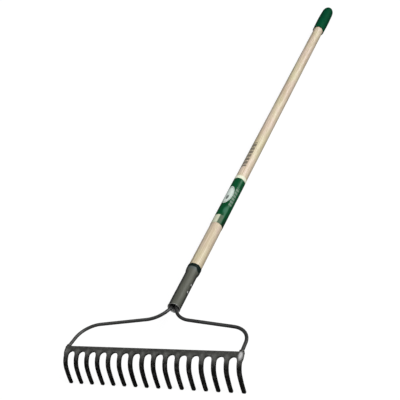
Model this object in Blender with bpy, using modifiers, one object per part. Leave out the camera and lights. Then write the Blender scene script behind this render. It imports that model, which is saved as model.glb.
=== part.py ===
"""Bow rake: a steel comb of curved tines on a two-rod bow, socketed into a long ash handle.

Metres. +Y runs up the handle to the grip, +Z is up with the tines pointing down, and X runs
across the head. The origin is the middle of the tine bar's flat upper face.
"""
import math

import bmesh
import bpy
from mathutils import Matrix, Vector

# Comb: a flat blank, pressed to shape
TINE_COUNT = 16
TINE_PITCH = 0.0254
TINE_WIDTH = 0.0092
TIP_WIDTH = 0.008
TIP_CORNER = 0.0025
STEEL_THICKNESS = 0.0048
TIP_THICKNESS = 0.004
BAR_DEPTH = 0.0108
ARCH_HEIGHT = 0.0086
BLANK_LENGTH = 0.0814

# The bar stands out a little past the end tines and is rounded in to them
BAR_OVERHANG = 0.0017
SHOULDER_RUN = 0.0125
SHOULDER_LENGTH = 0.009

# The pressed curve: flat bar, tight bend, then the long easy curve down to the tips
BAR_SLOPE = math.radians(18)
FLAT_RUN = 0.014
BEND_RADIUS = 0.03425
BEND_RUN = 0.03198
TIP_RADIUS = 0.175
BEND_CUTS = 7
TIP_CUTS = 4

# Where the handle's axis and the ferrule's mouth sit from the bar
AXIS_DROP = 0.00668
MOUTH_Y = 0.1264

# Bow rods: corners of each rod's run, from the middle of the ferrule's mouth
ROD_RADIUS = 0.0035
SHANK_SPREAD = 0.00365
SHANK_DEPTH = 0.092
SET_Y = 0.024
SET_RADIUS = 0.128
THROAT_Y = -0.0328
THROAT_Z = 0.002
THROAT_RADIUS = 0.0516
CORNER_X = 0.1879
CORNER_Y = -0.0587
CORNER_Z = 0.0006
CORNER_RADIUS = 0.0455
FOOT_X = 0.191
ROD_SPARE = 0.006
ARC_STEP = math.radians(8)

# Handle, turned from 1 1/8 in ash stock, 54 in long before its ends are trimmed
HANDLE_RADIUS = 0.0143
HANDLE_START = 0.016
HANDLE_LENGTH = 1.355
HANDLE_DOME = 0.028
TENON_RADIUS = 0.012
TENON_END = 0.096
SHOULDER_END = 0.1035
SHANK_BORE_RADIUS = 0.0085
SHANK_BORE_END = 0.100
END_CHAMFER = 0.0006

# Ferrule: a tube belled at its mouth, with a cup for the handle's shoulder at the other end
FERRULE_RADIUS = 0.0133
FERRULE_WALL = 0.001
BELL_RADIUS = 0.0138
BELL_LENGTH = 0.006
CUP_RADIUS = 0.01455
CUP_WALL = 0.0009
CUP_START = 0.1035
FERRULE_START = -0.0045
FERRULE_END = 0.1165
RIM_EDGE = 0.0003

# Cross rivets
RIVET_STATIONS = {"ferrule_rivet_lower": 0.041, "ferrule_rivet_upper": 0.062}
RIVET_RADIUS = 0.0016
RIVET_HEAD_RADIUS = 0.0032
RIVET_HEAD_HEIGHT = 0.0015

# Label wrap and grip
LABEL_START = 0.2547
LABEL_END = 0.4337
LABEL_INNER = 0.0146
LABEL_THICKNESS = 0.0003
GRIP_START = 1.2205
GRIP_INNER = 0.0146
GRIP_RADIUS = 0.0169
GRIP_SWELL = 0.0011
GRIP_DOME = 0.032
GRIP_CAP = 0.0025

# Welds: a collar of metal round each rod's foot, against the bar's back edge
WELD_RADII = (0.0052, 0.0034, 0.005)
WELD_SETBACK = 0.0006
WELD_SEGMENTS = 24
WELD_RINGS = 14

GAP = 0.0003
MERGE_DISTANCE = 0.00001

# Facets
ARCH_STEPS = 10
SHOULDER_STEPS = 4
TIP_CORNER_STEPS = 3
TURN_STEPS = 40
DOME_STEPS = 7
GRIP_STEPS = 8
CROWN_STEPS = 3
ROD_RESOLUTION = 3

# Finishes: base colour, roughness, metallic
FINISHES = {
    "head_steel": ((0.06, 0.06, 0.055), 0.45, 0.6),
    "bow_steel": ((0.05, 0.05, 0.048), 0.45, 0.6),
    "weld_metal": ((0.12, 0.12, 0.115), 0.5, 0.8),
    "ferrule_steel": ((0.15, 0.155, 0.145), 0.4, 0.7),
    "rivet_steel": ((0.3, 0.3, 0.3), 0.35, 0.9),
    "ash": ((0.75, 0.62, 0.42), 0.4, 0.0),
    "label_print": ((0.03, 0.14, 0.08), 0.35, 0.0),
    "grip_vinyl": ((0.005, 0.09, 0.04), 0.45, 0.0),
}


def start_collections():
    for old in list(bpy.data.objects):
        bpy.data.objects.remove(old, do_unlink=True)
    found = {}
    for name in ("bow_rake", "cutters"):
        found[name] = bpy.data.collections.new(name)
        bpy.context.scene.collection.children.link(found[name])
    return found["bow_rake"], found["cutters"]


RAKE, CUTTERS = start_collections()


def finish(name):
    """One of the rake's finishes as a material."""
    color, roughness, metallic = FINISHES[name]
    made = bpy.data.materials.new(name)
    made.use_nodes = True
    shader = made.node_tree.nodes["Principled BSDF"]
    shader.inputs["Base Color"].default_value = (*color, 1.0)
    shader.inputs["Roughness"].default_value = roughness
    shader.inputs["Metallic"].default_value = metallic
    made.diffuse_color = (*color, 1.0)
    return made


def add_mesh(name, mesh, coat, matrix=None, smooth_angle=40):
    """Put a mesh in the rake's collection with its own finish."""
    piece = bpy.data.objects.new(name, mesh)
    piece.matrix_world = matrix or Matrix()
    mesh.materials.clear()
    mesh.materials.append(coat)
    mesh.shade_smooth()
    mesh.set_sharp_from_angle(angle=math.radians(smooth_angle))
    RAKE.objects.link(piece)
    return piece


def mesh_of_curve(name, curve):
    """The closed mesh of a curve object, its loose caps or rims welded."""
    drawn = bpy.data.objects.new(name + "_curve", curve)
    bpy.context.scene.collection.objects.link(drawn)
    depsgraph = bpy.context.evaluated_depsgraph_get()
    mesh = bpy.data.meshes.new_from_object(drawn.evaluated_get(depsgraph))
    bpy.data.objects.remove(drawn, do_unlink=True)
    shape = bmesh.new()
    shape.from_mesh(mesh)
    bmesh.ops.remove_doubles(shape, verts=shape.verts[:], dist=MERGE_DISTANCE)
    shape.to_mesh(mesh)
    shape.free()
    return mesh


# ---- The comb ----

def back_edge():
    """Middle of the bar's back edge, from the middle of its upper face."""
    half_depth = BAR_DEPTH / 2
    half_thickness = STEEL_THICKNESS / 2
    y = half_depth * math.cos(BAR_SLOPE) + half_thickness * math.sin(BAR_SLOPE)
    z = half_depth * math.sin(BAR_SLOPE) - half_thickness * math.cos(BAR_SLOPE)
    return y, z


def arc_point(y, z, slope, radius, run):
    """Follow a bend that gets steeper, for a run along it."""
    end = slope + run / radius
    return (y - radius * (math.sin(end) - math.sin(slope)),
            z - radius * (math.cos(slope) - math.cos(end)), end)


def pressed_line(run):
    """(y, z, slope) on the comb's middle surface, a run forward of its back edge."""
    y, z = back_edge()
    flat = min(run, FLAT_RUN)
    y -= flat * math.cos(BAR_SLOPE)
    z -= flat * math.sin(BAR_SLOPE)
    slope = BAR_SLOPE
    if run > FLAT_RUN:
        y, z, slope = arc_point(y, z, slope, BEND_RADIUS, min(run - FLAT_RUN, BEND_RUN))
    if run > FLAT_RUN + BEND_RUN:
        y, z, slope = arc_point(y, z, slope, TIP_RADIUS, run - FLAT_RUN - BEND_RUN)
    return y, z, slope


def tine_half_width(run):
    straight_start = BAR_DEPTH + ARCH_HEIGHT
    share = (run - straight_start) / (BLANK_LENGTH - straight_start)
    return (TINE_WIDTH + (TIP_WIDTH - TINE_WIDTH) * max(share, 0.0)) / 2


def tine_outline(centre):
    """Down one side of a tine, round its blunt tip and back up: (x, run) points."""
    top = BAR_DEPTH + ARCH_HEIGHT
    side = BLANK_LENGTH - TIP_CORNER
    half = tine_half_width(side)
    right = [(centre + tine_half_width(top), top), (centre + half, side)]
    for step in range(1, TIP_CORNER_STEPS + 1):
        angle = math.pi / 2 * step / TIP_CORNER_STEPS
        right.append((centre + half - TIP_CORNER * (1 - math.cos(angle)),
                      side + TIP_CORNER * math.sin(angle)))
    left = [(2 * centre - x, run) for x, run in reversed(right)]
    return right + left


def arch_outline(right_tine):
    """The arch from a tine's left flank over to its left neighbour, ends left out."""
    centre = right_tine - TINE_PITCH / 2
    half = (TINE_PITCH - TINE_WIDTH) / 2
    points = []
    for step in range(1, ARCH_STEPS):
        angle = math.pi * step / ARCH_STEPS
        points.append((centre + half * math.cos(angle),
                       BAR_DEPTH + ARCH_HEIGHT * (1 - math.sin(angle))))
    return points


def shoulder_outline():
    """From the bar's right end in to the outer flank of the end tine."""
    flank = (TINE_PITCH * (TINE_COUNT - 1) + TINE_WIDTH) / 2
    points = []
    for step in range(SHOULDER_STEPS + 1):
        share = step / SHOULDER_STEPS
        out = BAR_OVERHANG * (1 + math.cos(math.pi * share)) / 2
        points.append((flank + out, SHOULDER_RUN + SHOULDER_LENGTH * share))
    return points


def blank_outline():
    """Round the flat blank, from the left end of its back edge: (x, run) points."""
    tines = []
    for index in range(TINE_COUNT):
        centre = TINE_PITCH * ((TINE_COUNT - 1) / 2 - index)
        tines += tine_outline(centre)
        if index < TINE_COUNT - 1:
            tines += arch_outline(centre)
    right = shoulder_outline()
    left = [(-x, run) for x, run in reversed(right)]
    end = right[0][0]
    return [(-end, 0.0), (end, 0.0)] + right + tines[1:-1] + left


def press(shape):
    """Bend the flat blank along the pressed line, thinning it from the bar to the tips."""
    for vertex in shape.verts:
        run = max(-vertex.co.y, 0.0)
        y, z, slope = pressed_line(run)
        share = max(run - FLAT_RUN, 0.0) / (BLANK_LENGTH - FLAT_RUN)
        thickness = STEEL_THICKNESS + (TIP_THICKNESS - STEEL_THICKNESS) * share
        lift = math.copysign(thickness / 2, vertex.co.z)
        vertex.co.y = y - lift * math.sin(slope)
        vertex.co.z = z + lift * math.cos(slope)


def build_comb():
    curve = bpy.data.curves.new("tine_blank", "CURVE")
    curve.dimensions = "2D"
    curve.fill_mode = "BOTH"
    curve.extrude = STEEL_THICKNESS / 2
    outline = blank_outline()
    spline = curve.splines.new("POLY")
    spline.points.add(len(outline) - 1)
    for point, (x, run) in zip(spline.points, outline):
        point.co = (x, -run, 0.0, 1.0)
    spline.use_cyclic_u = True
    mesh = mesh_of_curve("tine_comb", curve)

    cuts = [FLAT_RUN + BEND_RUN * step / BEND_CUTS for step in range(BEND_CUTS + 1)]
    bend_end = FLAT_RUN + BEND_RUN
    tip_run = BLANK_LENGTH - bend_end
    cuts += [bend_end + tip_run * step / TIP_CUTS for step in range(1, TIP_CUTS)]
    shape = bmesh.new()
    shape.from_mesh(mesh)
    for run in cuts:
        everything = shape.verts[:] + shape.edges[:] + shape.faces[:]
        bmesh.ops.bisect_plane(shape, geom=everything, plane_co=(0, -run, 0), plane_no=(0, 1, 0))
    bmesh.ops.triangulate(shape, faces=shape.faces[:])
    press(shape)
    bmesh.ops.recalc_face_normals(shape, faces=shape.faces[:])
    shape.to_mesh(mesh)
    shape.free()
    return add_mesh("tine_comb", mesh, finish("head_steel"), smooth_angle=30)


# ---- The bow ----

def on_axis(x, y, z=0.0):
    """A point given from the middle of the ferrule's mouth."""
    return Vector((x, y + MOUTH_Y, z - AXIS_DROP))


def foot_frame(side):
    """The middle of the bar's back edge at a rod's foot, and the ways into the steel and off its face."""
    y, z = back_edge()
    forward = Vector((0, -math.cos(BAR_SLOPE), -math.sin(BAR_SLOPE)))
    outward = Vector((0, -math.sin(BAR_SLOPE), math.cos(BAR_SLOPE)))
    return Vector((side * FOOT_X, y, z)), forward, outward


def rounded_path(corners, radii):
    """The corners' polyline with each inner corner turned on its own radius."""
    path = [corners[0]]
    for before, corner, after, radius in zip(corners, corners[1:], corners[2:], radii):
        entering = (corner - before).normalized()
        leaving = (after - corner).normalized()
        turn = entering.angle(leaving)
        start = corner - entering * radius * math.tan(turn / 2)
        inward = (leaving - entering * entering.dot(leaving)).normalized()
        centre = start + inward * radius
        steps = max(2, math.ceil(turn / ARC_STEP))
        for step in range(steps + 1):
            angle = turn * step / steps
            path.append(centre + radius * (entering * math.sin(angle) - inward * math.cos(angle)))
    return path + [corners[-1]]


def rod_corners(side):
    foot, _, _ = foot_frame(1)
    corners = [
        on_axis(SHANK_SPREAD, SHANK_DEPTH),
        on_axis(SHANK_SPREAD, SET_Y),
        on_axis(SHANK_SPREAD, THROAT_Y, THROAT_Z),
        on_axis(CORNER_X, CORNER_Y, CORNER_Z),
        foot,
    ]
    return [Vector((side * corner.x, corner.y, corner.z)) for corner in corners]


def leg_direction(side):
    *_, corner, foot = rod_corners(side)
    return (foot - corner).normalized()


def rod_path(side):
    """The rod's middle line, run on into the bar so that its end can be trimmed to fit."""
    corners = rod_corners(side)
    corners[-1] += leg_direction(side) * ROD_SPARE
    return rounded_path(corners, (SET_RADIUS, THROAT_RADIUS, CORNER_RADIUS))


def trim(mesh, point, normal):
    """Cut away what lies ahead of a plane and close the cut."""
    shape = bmesh.new()
    shape.from_mesh(mesh)
    everything = shape.verts[:] + shape.edges[:] + shape.faces[:]
    bmesh.ops.bisect_plane(
        shape, geom=everything, plane_co=point, plane_no=normal, clear_outer=True)
    rim = [edge for edge in shape.edges if edge.is_boundary]
    bmesh.ops.holes_fill(shape, edges=rim, sides=0)
    bmesh.ops.recalc_face_normals(shape, faces=shape.faces[:])
    shape.to_mesh(mesh)
    shape.free()


def wire_mesh(name, path, radius, resolution):
    curve = bpy.data.curves.new(name, "CURVE")
    curve.dimensions = "3D"
    curve.bevel_depth = radius
    curve.bevel_resolution = resolution
    curve.use_fill_caps = True
    spline = curve.splines.new("POLY")
    spline.points.add(len(path) - 1)
    for point, place in zip(spline.points, path):
        point.co = (*place, 1.0)
    return mesh_of_curve(name, curve)


def build_arm(name, side, coat):
    mesh = wire_mesh(name, rod_path(side), ROD_RADIUS, ROD_RESOLUTION)
    foot, forward, _ = foot_frame(side)
    trim(mesh, foot - forward * GAP, forward)
    return add_mesh(name, mesh, coat)


# ---- The welds ----

def add_cutter(name, shape, matrix):
    """A hidden solid that cuts other pieces."""
    mesh = bpy.data.meshes.new(name)
    shape.to_mesh(mesh)
    shape.free()
    cutter = bpy.data.objects.new(name, mesh)
    cutter.matrix_world = matrix
    cutter.display_type = "WIRE"
    cutter.hide_render = True
    CUTTERS.objects.link(cutter)
    return cutter


def rod_cutter(name, radius, length, matrix):
    shape = bmesh.new()
    bmesh.ops.create_cone(
        shape, cap_ends=True, segments=TURN_STEPS // 2, radius1=radius, radius2=radius, depth=length)
    return add_cutter(name, shape, matrix)


def cut_away(piece, cutters):
    for cutter in cutters:
        cut = piece.modifiers.new(cutter.name, "BOOLEAN")
        cut.operation = "DIFFERENCE"
        cut.solver = "EXACT"
        cut.object = cutter


def build_weld(name, side, coat):
    """A collar round the foot of a rod, cut back to clear the rod and the bar's back edge."""
    foot, forward, outward = foot_frame(side)
    axes = Matrix((Vector((1, 0, 0)), forward, outward)).transposed().to_4x4()
    shape = bmesh.new()
    bmesh.ops.create_uvsphere(
        shape, u_segments=WELD_SEGMENTS, v_segments=WELD_RINGS, radius=1.0)
    placed = Matrix.Translation(foot - forward * WELD_SETBACK) @ axes @ Matrix.Diagonal((*WELD_RADII, 1))
    bmesh.ops.transform(shape, matrix=placed, verts=shape.verts[:])
    bmesh.ops.recalc_face_normals(shape, faces=shape.faces[:])
    mesh = bpy.data.meshes.new(name)
    shape.to_mesh(mesh)
    shape.free()
    weld = add_mesh(name, mesh, coat)

    reach = 4 * max(WELD_RADII)
    along = leg_direction(side).to_track_quat("Z", "Y").to_matrix().to_4x4()
    rod = rod_cutter(name + "_rod", ROD_RADIUS + GAP, reach, Matrix.Translation(foot) @ along)
    block = bmesh.new()
    bmesh.ops.create_cube(block, size=reach)
    ahead = foot + forward * (reach / 2 - GAP)
    bar = add_cutter(name + "_bar", block, Matrix.Translation(ahead) @ axes)
    cut_away(weld, (rod, bar))
    return weld


# ---- Turned pieces ----

def turned_mesh(name, profile, closed):
    """Spin (radius, height) points, given down the outer side, about the Z axis."""
    shape = bmesh.new()
    rings = [shape.verts.new((radius, 0.0, height)) for radius, height in profile]
    for upper, lower in zip(rings, rings[1:]):
        shape.edges.new((upper, lower))
    if closed:
        shape.edges.new((rings[-1], rings[0]))
    mesh = bpy.data.meshes.new(name)
    shape.to_mesh(mesh)
    shape.free()
    return mesh


def turn(name, profile, coat, matrix, closed=False, steps=TURN_STEPS):
    piece = add_mesh(name, turned_mesh(name, profile, closed), coat, matrix)
    screw = piece.modifiers.new("turn", "SCREW")
    screw.steps = steps
    screw.render_steps = steps
    screw.use_merge_vertices = True
    screw.merge_threshold = MERGE_DISTANCE
    screw.use_smooth_shade = True
    return piece


def handle_matrix():
    """Local +Z of a turned piece becomes +Y, with its zero at the ferrule's mouth."""
    return Matrix.Translation(on_axis(0, 0)) @ Matrix.Rotation(-math.pi / 2, 4, "X")


def dome(radius, base, height, steps=DOME_STEPS):
    """Points from the tip of a dome down to the top of its straight side."""
    points = []
    for step in range(steps):
        angle = math.pi / 2 * step / steps
        points.append((radius * math.sin(angle), base + height * math.cos(angle)))
    return points


def build_handle():
    top = HANDLE_START + HANDLE_LENGTH
    profile = dome(HANDLE_RADIUS, top - HANDLE_DOME, HANDLE_DOME)
    profile += [
        (HANDLE_RADIUS, top - HANDLE_DOME),
        (HANDLE_RADIUS, SHOULDER_END),
        (TENON_RADIUS, TENON_END),
        (TENON_RADIUS, HANDLE_START + END_CHAMFER),
        (TENON_RADIUS - END_CHAMFER, HANDLE_START),
        (SHANK_BORE_RADIUS, HANDLE_START),
        (SHANK_BORE_RADIUS, SHANK_BORE_END),
        (0.0, SHANK_BORE_END),
    ]
    return turn("handle", profile, finish("ash"), handle_matrix())


def build_ferrule():
    cup_outer = CUP_RADIUS + CUP_WALL
    inner = FERRULE_RADIUS - FERRULE_WALL
    bell_inner = BELL_RADIUS - FERRULE_WALL
    body_top = TENON_END - FERRULE_WALL
    bell_top = FERRULE_START + BELL_LENGTH
    profile = [
        (CUP_RADIUS, FERRULE_END),
        (cup_outer - RIM_EDGE, FERRULE_END),
        (cup_outer, FERRULE_END - RIM_EDGE),
        (cup_outer, CUP_START),
        (FERRULE_RADIUS, body_top),
        (FERRULE_RADIUS, bell_top),
        (BELL_RADIUS, FERRULE_START + RIM_EDGE),
        (BELL_RADIUS - RIM_EDGE, FERRULE_START),
        (bell_inner, FERRULE_START),
        (inner, bell_top),
        (inner, body_top),
        (CUP_RADIUS, CUP_START),
    ]
    return turn("ferrule", profile, finish("ferrule_steel"), handle_matrix(), closed=True)


def across_matrix(station):
    """Local +Z of a turned piece becomes +X, on the handle's axis at a station along it."""
    return Matrix.Translation(on_axis(0, station)) @ Matrix.Rotation(math.pi / 2, 4, "Y")


def build_rivet(name, station, coat):
    base = FERRULE_RADIUS + GAP
    crown = dome(RIVET_HEAD_RADIUS, base, RIVET_HEAD_HEIGHT, CROWN_STEPS)
    upper = crown + [(RIVET_HEAD_RADIUS, base), (RIVET_RADIUS, base)]
    profile = upper + [(radius, -height) for radius, height in reversed(upper)]
    return turn(name, profile, coat, across_matrix(station), steps=TURN_STEPS // 2)


def build_label():
    outer = LABEL_INNER + LABEL_THICKNESS
    profile = [(LABEL_INNER, LABEL_END), (outer, LABEL_END)]
    profile += [(outer, LABEL_START), (LABEL_INNER, LABEL_START)]
    return turn("handle_label", profile, finish("label_print"), handle_matrix(), closed=True)


def build_grip():
    top = HANDLE_START + HANDLE_LENGTH + GAP + GRIP_CAP
    dome_base = top - GRIP_DOME
    profile = dome(GRIP_RADIUS, dome_base, GRIP_DOME)
    length = dome_base - GRIP_START
    for step in range(GRIP_STEPS + 1):
        share = step / GRIP_STEPS
        swell = GRIP_SWELL * math.sin(math.pi * share)
        profile.append((GRIP_RADIUS + swell, dome_base - length * share))
    inner_base = HANDLE_START + HANDLE_LENGTH - HANDLE_DOME
    profile.append((GRIP_INNER, GRIP_START))
    profile += reversed(dome(GRIP_INNER, inner_base, HANDLE_DOME + GAP) + [(GRIP_INNER, inner_base)])
    return turn("end_grip", profile, finish("grip_vinyl"), handle_matrix())


def build_rake():
    build_comb()
    bow_coat = finish("bow_steel")
    weld_coat = finish("weld_metal")
    rivet_coat = finish("rivet_steel")
    drilled = [build_handle(), build_ferrule()]
    for name, side in (("left", -1), ("right", 1)):
        drilled.append(build_arm("bow_arm_" + name, side, bow_coat))
        build_weld("bow_weld_" + name, side, weld_coat)
    holes = []
    for name, station in RIVET_STATIONS.items():
        build_rivet(name, station, rivet_coat)
        length = 4 * FERRULE_RADIUS
        holes.append(rod_cutter(name + "_hole", RIVET_RADIUS + GAP, length, across_matrix(station)))
    for piece in drilled:
        cut_away(piece, holes)
    build_label()
    build_grip()


build_rake()
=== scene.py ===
"""Bow rake: enamelled steel comb and bow, grey ferrule, lacquered ash handle, printed wrap, vinyl grip.

Metres, in the CAD frame: +Y runs up the handle, +Z is up, X runs across the head. The origin is the
middle of the tine bar's flat upper face.
"""

import math

import bmesh
import bpy
from mathutils import Matrix, Vector, noise


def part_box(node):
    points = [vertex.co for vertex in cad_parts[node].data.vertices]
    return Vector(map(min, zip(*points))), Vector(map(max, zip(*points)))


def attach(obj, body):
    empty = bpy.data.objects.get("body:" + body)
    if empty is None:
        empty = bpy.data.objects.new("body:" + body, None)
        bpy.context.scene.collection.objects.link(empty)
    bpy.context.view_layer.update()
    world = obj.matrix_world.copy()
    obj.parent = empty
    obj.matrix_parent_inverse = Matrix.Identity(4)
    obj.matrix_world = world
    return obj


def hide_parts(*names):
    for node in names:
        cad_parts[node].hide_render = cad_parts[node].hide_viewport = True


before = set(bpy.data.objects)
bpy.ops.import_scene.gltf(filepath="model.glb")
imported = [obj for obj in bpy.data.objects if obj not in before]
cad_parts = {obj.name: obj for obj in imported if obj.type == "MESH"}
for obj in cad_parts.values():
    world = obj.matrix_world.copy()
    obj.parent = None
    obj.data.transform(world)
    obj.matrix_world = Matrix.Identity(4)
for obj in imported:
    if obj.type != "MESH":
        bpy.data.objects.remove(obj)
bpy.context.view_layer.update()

MM = 0.001
TAU = 2 * math.pi

# ---- The comb, as pressed from one flat blank: a run is a distance forward of its back edge ----
TINE_COUNT = 16
TINE_WIDTH = 9.2 * MM
TIP_WIDTH = 8.0 * MM
TIP_CORNER = 2.5 * MM
STEEL = 4.8 * MM
TIP_STEEL = 4.0 * MM
BAR_DEPTH = 10.8 * MM
ARCH_HEIGHT = 8.6 * MM
BAR_OVERHANG = 1.7 * MM
BAR_CORNER = 1.2 * MM
SHOULDER_RUN = 12.5 * MM
SHOULDER_LENGTH = 9 * MM
BLANK_LENGTH = 81.4 * MM
BAR_SLOPE = math.radians(18)
FLAT_RUN = 14 * MM
BEND_RADIUS = 34.25 * MM
BEND_RUN = 31.98 * MM
TIP_RADIUS = 175 * MM
EDGE_ROUND = 1.0 * MM

# ---- What forging and welding left on the comb ----
ROOT_END = 19 * MM
ROOT_WIDTH = 4.2 * MM
ROOT_RISE = 0.7 * MM
LAP_X = 191.6 * MM
LAP_WIDTH = 4.2 * MM
LAP_RUN = 8.5 * MM
LAP_LENGTH = 9.5 * MM
LAP_RISE = 0.8 * MM
TINE_LEAN = 0.5 * MM
TINE_CURL = 0.35 * MM
TINE_WAVE = 0.12 * MM

# ---- The bow: corners of a rod's run, from where the handle's axis passes MOUTH_Y ----
ROD_RADIUS = 3.5 * MM
SHANK_SPREAD = 3.65 * MM
SHANK_DEPTH = 92 * MM
SET_Y = 24 * MM
SET_RADIUS = 128 * MM
THROAT_Y = -32.8 * MM
THROAT_Z = 2.0 * MM
THROAT_RADIUS = 51.6 * MM
CORNER_X = 187.9 * MM
CORNER_Y = -58.7 * MM
CORNER_Z = 0.6 * MM
CORNER_RADIUS = 45.5 * MM
FOOT_X = 191.0 * MM

# ---- The turned pieces: a station is a distance up the handle from MOUTH_Y ----
FERRULE_START = -4.5 * MM
FERRULE_RADIUS = 13.3 * MM
FERRULE_WALL = 1.0 * MM
BELL_RADIUS = 13.8 * MM
BELL_LENGTH = 6 * MM
CUP_START = 93.5 * MM
CUP_FULL = 104.5 * MM
CUP_WALL = 0.9 * MM
RIVET_STATIONS = {"ferrule_rivet_lower": 41 * MM, "ferrule_rivet_upper": 62 * MM}
RIVET_RADIUS = 1.6 * MM
RIVET_HEAD_RADIUS = 3.2 * MM
RIVET_HEAD_HEIGHT = 1.5 * MM
RIVET_SUNK = 0.35 * MM
HANDLE_DOME = 28 * MM
TENON_RADIUS = 12 * MM
TENON_END = 96 * MM
SHOULDER_END = 103.5 * MM
BORE_RADIUS = 8.5 * MM
BORE_END = 100 * MM
END_CHAMFER = 0.6 * MM
LABEL_INNER = 14.45 * MM
LABEL_EDGE = 0.08 * MM
LABEL_LAP = 0.1 * MM
GRIP_RADIUS = 16.9 * MM
GRIP_INNER = 14.6 * MM
GRIP_DOME = 32 * MM
GRIP_EDGE = 0.3 * MM


def middle(node):
    low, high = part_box(node)
    return (low + high) / 2


def stations(node):
    """The stations where a turned node starts and ends."""
    low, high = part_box(node)
    return low.y - MOUTH_Y, high.y - MOUTH_Y


def radius_of(node):
    low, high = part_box(node)
    return (high.z - low.z) / 2


AXIS_Z = middle("handle").z
MOUTH_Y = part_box("ferrule")[0].y - FERRULE_START
COMB_LOW, COMB_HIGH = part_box("tine_comb")
TINE_PITCH = (COMB_HIGH.x - COMB_LOW.x - TINE_WIDTH - 2 * BAR_OVERHANG) / (TINE_COUNT - 1)
END_TINE_X = TINE_PITCH * (TINE_COUNT - 1) / 2
TINE_ROOT = BAR_DEPTH + ARCH_HEIGHT


# ---------------------------------------------------------------- materials

class Graph:
    """A Principled material and short names for the nodes that drive it."""

    def __init__(self, name):
        self.material = bpy.data.materials.new(name)
        self.material.use_nodes = True
        self.tree = self.material.node_tree
        self.shader = self.tree.nodes["Principled BSDF"]
        self.object = self.node("TexCoord").outputs["Object"]

    def plug(self, socket, value):
        if isinstance(value, bpy.types.NodeSocket):
            self.tree.links.new(value, socket)
        elif socket.type == "RGBA" and len(value) == 3:
            socket.default_value = (*value, 1.0)
        else:
            socket.default_value = value

    def node(self, kind, inputs=(), **settings):
        made = self.tree.nodes.new("ShaderNode" + kind)
        for key, value in settings.items():
            setattr(made, key, value)
        for key, value in dict(inputs).items():
            self.plug(made.inputs[key], value)
        return made

    def math(self, operation, a, b=0.0):
        return self.node("Math", {0: a, 1: b}, operation=operation).outputs[0]

    def add(self, a, b):
        return self.math("ADD", a, b)

    def times(self, a, b):
        return self.math("MULTIPLY", a, b)

    def less(self, a, b):
        return self.math("SUBTRACT", a, b)

    def mix(self, share, a, b):
        """From colour a to colour b as share goes from 0 to 1."""
        return self.node("Mix", {0: share, 6: a, 7: b}, data_type="RGBA").outputs[2]

    def fade(self, share, a, b):
        """From number a to number b as share goes from 0 to 1."""
        return self.node("Mix", {0: share, 2: a, 3: b}, data_type="FLOAT").outputs[0]

    def ease(self, value, low, high, to_low=0.0, to_high=1.0):
        """Smoothly from to_low to to_high while value goes from low to high."""
        limits = {"Value": value, "From Min": low, "From Max": high, "To Min": to_low, "To Max": to_high}
        return self.node("MapRange", limits, interpolation_type="SMOOTHSTEP").outputs[0]

    def band(self, value, rise, fall):
        """1 between two slopes and 0 beyond them: a slope is the pair of values where it starts and ends."""
        return self.times(self.ease(value, *rise), self.ease(value, *fall, 1.0, 0.0))

    def between(self, value, low, high, soft):
        """1 from low to high, with edges that reach soft to either side."""
        return self.band(value, (low - soft, low + soft), (high - soft, high + soft))

    def stretched(self, scale):
        """Coordinates scaled by one number, or by three of them, one per axis."""
        if not isinstance(scale, tuple):
            scale = (scale, scale, scale)
        return self.node("VectorMath", {0: self.object, 1: scale}, operation="MULTIPLY").outputs[0]

    def noise(self, scale, detail=3.0, rough=0.5):
        """Noise between 0 and 1: scale is features per metre, or three of them."""
        spread = {"Vector": self.stretched(scale), "Scale": 1.0, "Detail": detail, "Roughness": rough}
        return self.node("TexNoise", spread).outputs[0]

    def roughened(self, value, amount, scale, detail=3.0, rough=0.5):
        """The value with noise about zero added, so that a line drawn where it passes a limit wanders."""
        return self.add(value, self.times(self.less(self.noise(scale, detail, rough), 0.5), amount))

    def cells(self, scale):
        """Distance to the nearest of many scattered points."""
        spread = {"Vector": self.stretched(scale), "Scale": 1.0}
        return self.node("TexVoronoi", spread).outputs["Distance"]

    def split(self):
        return self.node("SeparateXYZ", {0: self.object}).outputs

    def station(self):
        """How far up the handle a place is, from MOUTH_Y."""
        return self.less(self.split()["Y"], MOUTH_Y)

    def degrees_round(self):
        """Degrees round the handle's axis: 0 is its top and 90 is +X."""
        place = self.split()
        turned = self.math("ARCTAN2", place["X"], self.less(place["Z"], AXIS_Z))
        return self.times(turned, 180 / math.pi)

    def painted(self, name):
        """A value that the mesh carries at its points."""
        return self.node("Attribute", attribute_name=name).outputs["Fac"]

    def facing(self):
        """0 where a surface faces the camera, and 1 where it is seen edge on."""
        return self.node("LayerWeight", {"Blend": 0.5}).outputs["Facing"]

    def bump(self, height, distance, strength=1.0, under=None):
        inputs = {"Height": height, "Distance": distance, "Strength": strength}
        if under is not None:
            inputs["Normal"] = under
        return self.node("Bump", inputs).outputs[0]

    def finish(self, **sockets):
        for key, value in sockets.items():
            self.plug(self.shader.inputs[key.replace("_", " ")], value)
        return self.material


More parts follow.
